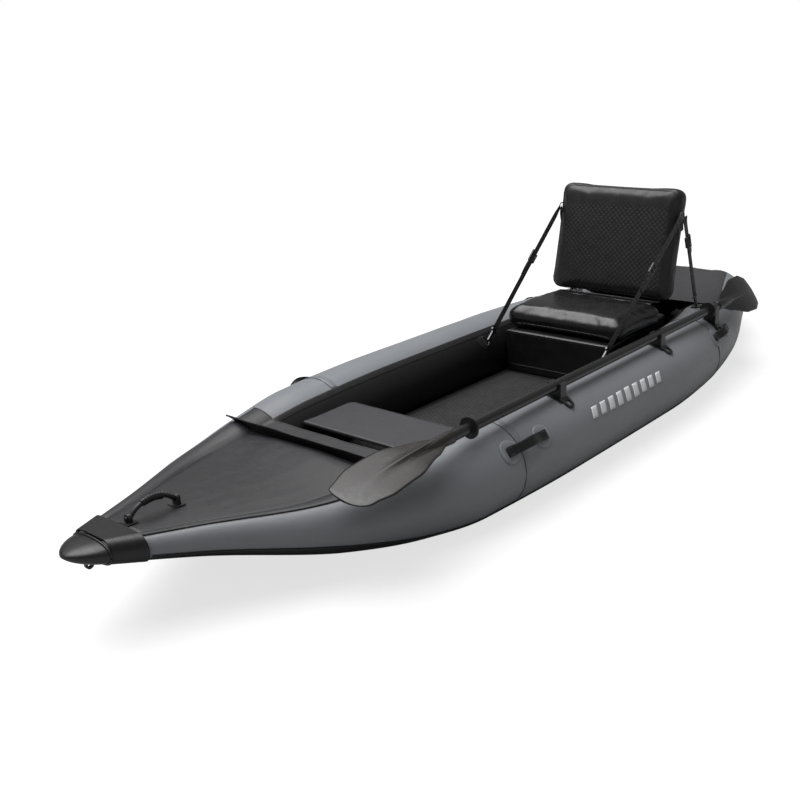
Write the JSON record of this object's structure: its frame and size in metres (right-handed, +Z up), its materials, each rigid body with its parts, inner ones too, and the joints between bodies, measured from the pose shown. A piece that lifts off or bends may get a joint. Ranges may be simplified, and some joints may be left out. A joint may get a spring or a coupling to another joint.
{
  "type": "inflatable kayak",
  "caption": "One-person inflatable kayak with side chambers, a covered bow, a raised seat with a strapped folding backrest, and a stowed two-piece paddle.",
  "frame": {"origin": "on the ground under the hull, on the centreline, midway between nose tip and stern", "axes": "+X to the bow, +Y to port (the side that the paddle is stowed on), +Z up"},
  "size_m": [3.2998, 0.928, 0.6843],
  "materials": {
    "hull_grey": "satin",
    "black_sheet": "satin",
    "stern_sheet": "satin",
    "floor_sheet": "matt",
    "panel": "satin",
    "mat_foam": "matt ribbed",
    "nose_rubber": "satin",
    "seat_sheet": "semi-gloss coated sheet",
    "back_fabric": "quilted",
    "steel": "polished",
    "patch": "satin",
    "webbing": "woven",
    "plastic": "satin",
    "shaft": "black anodised",
    "blade": "satin"
  },
  "bodies": {
    "hull": {"bottom_skin": "black_sheet", "bow_deck": "black_sheet", "bow_handle_eyes": "plastic", "deck_hem": "black_sheet", "deck_panel": "panel", "drain_socket": "plastic", "floor_chamber": "floor_sheet", "floor_mat": "mat_foam", "floor_valve": "plastic", "front_anchor_patches": "patch", "front_anchor_rings": "steel", "front_paddle_clip": "nose_rubber", "middle_paddle_clip": "nose_rubber", "nose_band": "nose_rubber", "nose_cone": "nose_rubber", "port_aft_handle": "webbing", "port_chamber": "hull_grey", "port_front_handle": "webbing", "port_front_strap": "webbing", "port_lining": "black_sheet", "port_rear_strap": "webbing", "port_valve": "plastic", "rear_anchor_patches": "patch", "rear_anchor_rings": "steel", "rear_paddle_clip": "nose_rubber", "seat_base": "seat_sheet", "seat_bench": "seat_sheet", "seat_hinge_web": "black_sheet", "side_handle_patches": "patch", "splash_guard": "black_sheet", "starboard_aft_handle": "webbing", "starboard_chamber": "hull_grey", "starboard_front_handle": "webbing", "starboard_front_strap": "webbing", "starboard_lining": "black_sheet", "starboard_rear_strap": "webbing", "starboard_valve": "plastic", "stern_deck": "stern_sheet", "strap_adjusters": "plastic", "strap_hooks": "steel", "tow_eye": "nose_rubber", "tube_valve_bosses": "patch"},
    "seat_back": {"seat_back": "back_fabric", "back_rings": "steel"},
    "paddle": {"paddle_rear_shaft": "shaft", "paddle_rear_blade": "blade"},
    "paddle_front_half": {"paddle_front_shaft": "shaft", "paddle_ferrule": "shaft", "paddle_front_blade": "blade"},
    "front_drip_ring": {"front_drip_ring": "nose_rubber"},
    "rear_drip_ring": {"rear_drip_ring": "nose_rubber"},
    "snap_button": {"paddle_snap_button": "steel"},
    "bow_handle": {"bow_handle": "webbing", "bow_handle_grip": "nose_rubber"},
    "port_valve_cap": {"port_valve_cap": "plastic"},
    "starboard_valve_cap": {"starboard_valve_cap": "plastic"},
    "floor_valve_cap": {"floor_valve_cap": "plastic"},
    "drain_plug": {"drain_plug": "plastic"}
  },
  "joints": [
    {"name": "seat_back_fold", "type": "hinge", "parent": "hull", "child": "seat_back", "pos_m": [-0.591, 0, 0.3073], "axis": [0, 1, 0], "range_deg": [-15, 80], "deforming": ["port_front_strap", "starboard_front_strap", "port_rear_strap", "starboard_rear_strap", "strap_adjusters", "strap_hooks", "seat_hinge_web"]},
    {"name": "paddle_lift", "type": "slide", "parent": "hull", "child": "paddle", "axis": [0, 0, 1], "range_m": [0, 0.3]},
    {"name": "paddle_part", "type": "slide", "parent": "paddle", "child": "paddle_front_half", "axis": [1, 0, 0], "range_m": [0, 0.118], "deforming": ["paddle_snap_button"]},
    {"name": "snap_button_press", "type": "slide", "parent": "paddle_front_half", "child": "snap_button", "axis": [0, 0, -1], "range_m": [0, 0.003]},
    {"name": "front_drip_ring_slide", "type": "slide", "parent": "paddle_front_half", "child": "front_drip_ring", "axis": [1, 0, 0], "range_m": [-0.06, 0.05]},
    {"name": "rear_drip_ring_slide", "type": "slide", "parent": "paddle", "child": "rear_drip_ring", "axis": [1, 0, 0], "range_m": [-0.012, 0.06]},
    {"name": "bow_handle_swing", "type": "hinge", "parent": "hull", "child": "bow_handle", "pos_m": [1.42, 0, 0.22993], "axis": [1, 0, 0], "range_deg": [-75, 75]},
    {"name": "port_valve_cap_turn", "type": "hinge", "parent": "hull", "child": "port_valve_cap", "pos_m": [-0.8, 0.1804, 0.20779], "axis": [0.1827, -0.7589, 0.6251], "range_deg": [0, 90]},
    {"name": "starboard_valve_cap_turn", "type": "hinge", "parent": "hull", "child": "starboard_valve_cap", "pos_m": [-0.8, -0.1804, 0.20779], "axis": [0.1827, 0.7589, 0.6251], "range_deg": [0, 90]},
    {"name": "floor_valve_cap_turn", "type": "hinge", "parent": "hull", "child": "floor_valve_cap", "pos_m": [-0.86, 0, 0.072], "axis": [0, 0, 1], "range_deg": [0, 90]},
    {"name": "drain_plug_pull", "type": "slide", "parent": "hull", "child": "drain_plug", "axis": [0, 0, 1], "range_m": [0, 0.03]}
  ]
}
